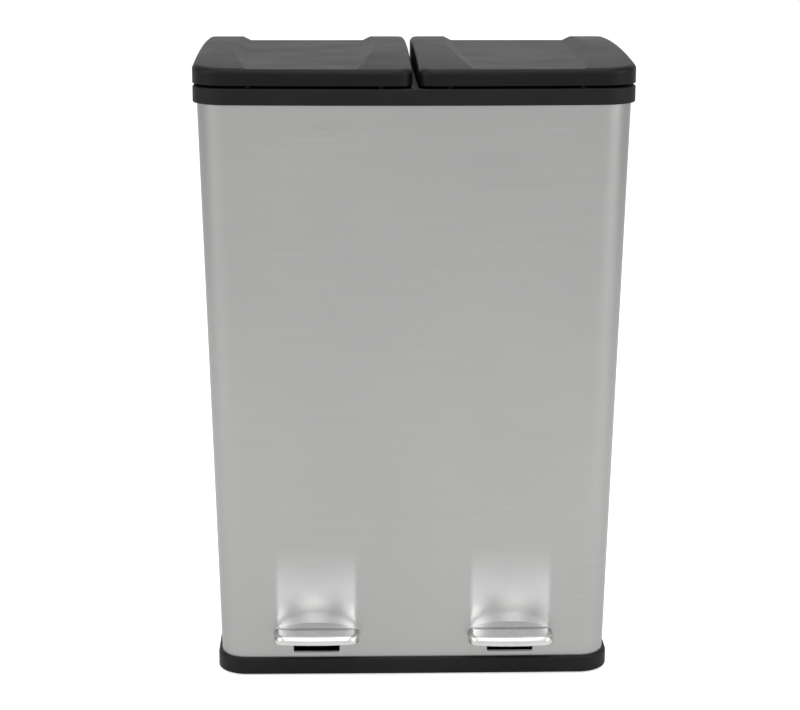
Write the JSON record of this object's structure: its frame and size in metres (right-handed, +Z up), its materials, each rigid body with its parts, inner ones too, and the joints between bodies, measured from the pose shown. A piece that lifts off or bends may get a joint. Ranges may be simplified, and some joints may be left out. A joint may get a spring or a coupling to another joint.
{
  "type": "double recycling bin",
  "caption": "Tapered steel pedal bin with twin compartments: each front pedal turns a lever and lifts a rod up the back to open its own lid.",
  "frame": {"origin": "on the floor, under the middle of the bin's overall box", "axes": "+Z up, +Y from the pedals towards the hinges at the back, +X to the right when the bin is seen from the front"},
  "size_m": [0.456, 0.354, 0.6656],
  "materials": {
    "steel": "fine upright brushing",
    "pedal_steel": "polished lip",
    "zinc_steel": "zinc plated",
    "fastener": "bright plated",
    "black_plastic": "fine texture",
    "lid_plastic": "satin",
    "bucket_plastic": "fine texture",
    "nylon": "smooth",
    "rubber": "matt"
  },
  "bodies": {
    "bin": {"axle_clips": "fastener", "base_screws": "fastener", "base_tray": "black_plastic", "left_axle": "fastener", "left_bucket": "bucket_plastic", "left_guide_rivets": "fastener", "left_hinge_pin": "fastener", "left_rod_guides": "nylon", "lever_buffers": "rubber", "lid_buffers": "rubber", "right_axle": "fastener", "right_bucket": "bucket_plastic", "right_guide_rivets": "fastener", "right_hinge_pin": "fastener", "right_rod_guides": "nylon", "rubber_feet": "rubber", "steel_shell": "steel", "top_collar": "black_plastic"},
    "left_lid": {"left_lid": "lid_plastic", "left_lid_lug": "nylon", "left_lug_screws": "fastener"},
    "left_pedal": {"left_pedal_plate": "pedal_steel", "left_lever": "zinc_steel", "left_lever_bushes": "nylon"},
    "left_rod": {"left_push_rod": "zinc_steel", "left_rod_tip": "nylon"},
    "right_lid": {"right_lid": "lid_plastic", "right_lid_lug": "nylon", "right_lug_screws": "fastener"},
    "right_pedal": {"right_pedal_plate": "pedal_steel", "right_lever": "zinc_steel", "right_lever_bushes": "nylon"},
    "right_rod": {"right_push_rod": "zinc_steel", "right_rod_tip": "nylon"}
  },
  "joints": [
    {"name": "left_lid_hinge", "type": "hinge", "parent": "bin", "child": "left_lid", "pos_m": [-0.11545, 0.1705, 0.641], "axis": [-1, 0, 0], "range_deg": [0, 80]},
    {"name": "left_pedal_axle", "type": "hinge", "parent": "bin", "child": "left_pedal", "pos_m": [-0.1045, -0.05, 0.03], "axis": [1, 0, 0], "range_deg": [0, 8.62]},
    {"name": "left_rod_slide", "type": "slide", "parent": "bin", "child": "left_rod", "axis": [0, 0.0248, 0.9997], "range_m": [0, 0.02835]},
    {"name": "right_lid_hinge", "type": "hinge", "parent": "bin", "child": "right_lid", "pos_m": [0.11545, 0.1705, 0.641], "axis": [-1, 0, 0], "range_deg": [0, 80]},
    {"name": "right_pedal_axle", "type": "hinge", "parent": "bin", "child": "right_pedal", "pos_m": [0.1045, -0.05, 0.03], "axis": [1, 0, 0], "range_deg": [0, 8.62]},
    {"name": "right_rod_slide", "type": "slide", "parent": "bin", "child": "right_rod", "axis": [0, 0.0248, 0.9997], "range_m": [0, 0.02835]}
  ],
  "couplings": [
    {"joint": "left_pedal_axle", "follows": "left_lid_hinge", "ratio": 0.10772},
    {"joint": "left_rod_slide", "follows": "left_lid_hinge", "m_per_rad": 0.0203},
    {"joint": "right_pedal_axle", "follows": "right_lid_hinge", "ratio": 0.10772},
    {"joint": "right_rod_slide", "follows": "right_lid_hinge", "m_per_rad": 0.0203}
  ]
}
